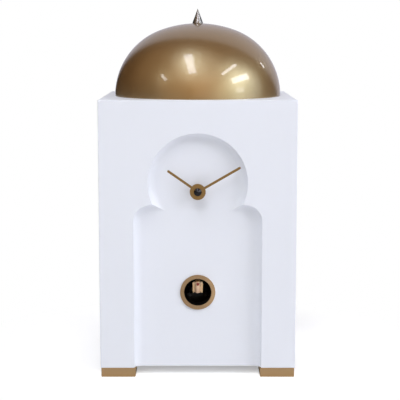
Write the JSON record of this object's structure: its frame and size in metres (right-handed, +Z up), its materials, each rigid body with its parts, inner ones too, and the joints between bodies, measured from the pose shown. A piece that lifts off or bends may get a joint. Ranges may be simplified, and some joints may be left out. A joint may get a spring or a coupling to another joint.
{
  "type": "table clock",
  "caption": "Domed table clock: white square case, horseshoe recess with slim hands, cuckoo window, gold dome with steel finial and gold feet.",
  "frame": {"origin": "on the table under the middle of the square case", "axes": "+Z up; the dial looks along -Y; +X is to the right for someone who reads the dial"},
  "size_m": [0.25, 0.2604, 0.4707],
  "materials": {
    "white_lacquer": "white satin lacquer on fibreboard",
    "batten_wood": "planed softwood",
    "gold_lacquer": "glossy gold metallic lacquer",
    "gold_satin": "satin old-gold finish",
    "polished_steel": "polished",
    "black_nickel": "polished black plating",
    "zinc_steel": "zinc plated",
    "hinge_brass": "rolled brass",
    "black_plastic": "moulded, black",
    "grey_plastic": "moulded, grey",
    "gear_plastic": "moulded, natural white",
    "gasket_rubber": "die cut sheet",
    "board_resin": "green laminate",
    "speaker_black": "black basket and magnet",
    "cell_jacket": "plain printed jacket",
    "contact_steel": "nickel plated",
    "bird_cream": "painted wood",
    "bird_tan": "stained wood",
    "beak_red": "red paint"
  },
  "bodies": {
    "case": {"front_panel": "white_lacquer", "left_side_panel": "white_lacquer", "right_side_panel": "white_lacquer", "top_panel": "white_lacquer", "bottom_panel": "white_lacquer", "back_panel": "white_lacquer", "corner_battens": "batten_wood", "back_panel_screws": "zinc_steel", "front_left_foot": "gold_satin", "front_right_foot": "gold_satin", "rear_left_foot": "gold_satin", "rear_right_foot": "gold_satin", "foot_screws": "zinc_steel", "hinge_frame_leaves": "hinge_brass", "hinge_pins": "zinc_steel", "hinge_frame_screws": "zinc_steel", "door_magnet": "black_plastic", "dome_shell": "gold_lacquer", "dome_seat_disc": "batten_wood", "dome_tie_rod": "zinc_steel", "dome_nut": "zinc_steel", "finial": "polished_steel", "window_ring": "gold_satin", "window_tube": "black_plastic", "movement_front_case": "black_plastic", "movement_back_case": "black_plastic", "movement_gasket": "gasket_rubber", "bushing_washer": "hinge_brass", "bushing_nut": "hinge_brass", "step_motor": "zinc_steel", "cuckoo_chassis": "black_plastic", "chassis_screws": "zinc_steel", "guide_rods": "zinc_steel", "bird_motor": "zinc_steel", "control_board": "board_resin", "speaker": "speaker_black", "battery_tray": "black_plastic", "battery_cells": "cell_jacket", "battery_contacts": "contact_steel"},
    "door": {"rear_door": "white_lacquer", "hinge_door_leaves": "hinge_brass", "hinge_door_screws": "zinc_steel", "door_strike": "zinc_steel"},
    "minute": {"minute_arbor": "gear_plastic", "minute_hand": "gold_satin", "cap_nut": "black_nickel"},
    "hour": {"hour_wheel": "gear_plastic", "hour_hand": "gold_satin"},
    "motion": {"motion_wheel": "gear_plastic"},
    "setting": {"setting_knob": "grey_plastic"},
    "rotor": {"motor_pinion": "gear_plastic"},
    "carriage": {"bird_carriage": "gear_plastic", "bird_body": "bird_cream", "bird_beak": "beak_red"},
    "left_wing": {"left_wing": "bird_tan"},
    "right_wing": {"right_wing": "bird_tan"},
    "drive": {"carriage_pinion": "gear_plastic"},
    "bird_rotor": {"bird_motor_pinion": "gear_plastic"},
    "switch": {"sound_switch": "grey_plastic"},
    "button": {"test_button": "grey_plastic"}
  },
  "joints": [
    {"name": "door_hinge", "type": "hinge", "parent": "case", "child": "door", "pos_m": [-0.0845, 0.1272, 0.184], "axis": [0, 0, 1], "range_deg": [0, 110]},
    {"name": "minute_spin", "type": "hinge", "parent": "case", "child": "minute", "pos_m": [0, -0.1, 0.24], "axis": [0, 1, 0], "continuous": true},
    {"name": "hour_spin", "type": "hinge", "parent": "case", "child": "hour", "pos_m": [0, -0.1, 0.24], "axis": [0, 1, 0], "continuous": true},
    {"name": "motion_spin", "type": "hinge", "parent": "case", "child": "motion", "pos_m": [0, -0.1015, 0.23], "axis": [0, 1, 0], "continuous": true},
    {"name": "setting_spin", "type": "hinge", "parent": "case", "child": "setting", "pos_m": [0, -0.09, 0.22], "axis": [0, 1, 0], "continuous": true},
    {"name": "rotor_spin", "type": "hinge", "parent": "case", "child": "rotor", "pos_m": [-0.01202, -0.0985, 0.25202], "axis": [0, 1, 0], "continuous": true},
    {"name": "bird_slide", "type": "slide", "parent": "case", "child": "carriage", "axis": [0, -1, 0], "range_m": [0, 0.045]},
    {"name": "drive_spin", "type": "hinge", "parent": "case", "child": "drive", "pos_m": [0.02416, -0.042, 0.09], "axis": [0, 0, 1], "range_deg": [0, 720]},
    {"name": "bird_rotor_spin", "type": "hinge", "parent": "case", "child": "bird_rotor", "pos_m": [0.02416, -0.0305, 0.087], "axis": [0, 0, 1], "range_deg": [-2600, 0]},
    {"name": "left_wing_flap", "type": "hinge", "parent": "carriage", "child": "left_wing", "pos_m": [-0.0052, -0.072, 0.1118], "axis": [0, 1, 0], "range_deg": [0, 26]},
    {"name": "right_wing_flap", "type": "hinge", "parent": "carriage", "child": "right_wing", "pos_m": [0.0052, -0.072, 0.1118], "axis": [0, -1, 0], "range_deg": [0, 26]},
    {"name": "switch_slide", "type": "slide", "parent": "case", "child": "switch", "axis": [1, 0, 0], "range_m": [0, 0.004]},
    {"name": "button_press", "type": "slide", "parent": "case", "child": "button", "axis": [0, -1, 0], "range_m": [0, 0.0012], "stiffness_N_per_m": 200, "springref_m": -0.0005}
  ],
  "couplings": [
    {"joint": "hour_spin", "follows": "minute_spin", "ratio": 0.083333},
    {"joint": "motion_spin", "follows": "minute_spin", "ratio": -0.33333},
    {"joint": "setting_spin", "follows": "minute_spin", "ratio": 1},
    {"joint": "rotor_spin", "follows": "minute_spin", "ratio": -7.5},
    {"joint": "drive_spin", "follows": "bird_slide", "rad_per_m": 277.78},
    {"joint": "bird_rotor_spin", "follows": "bird_slide", "rad_per_m": -1000},
    {"joint": "left_wing_flap", "follows": "bird_slide", "rad_per_m": 9.6963},
    {"joint": "right_wing_flap", "follows": "bird_slide", "rad_per_m": 9.6963}
  ]
}
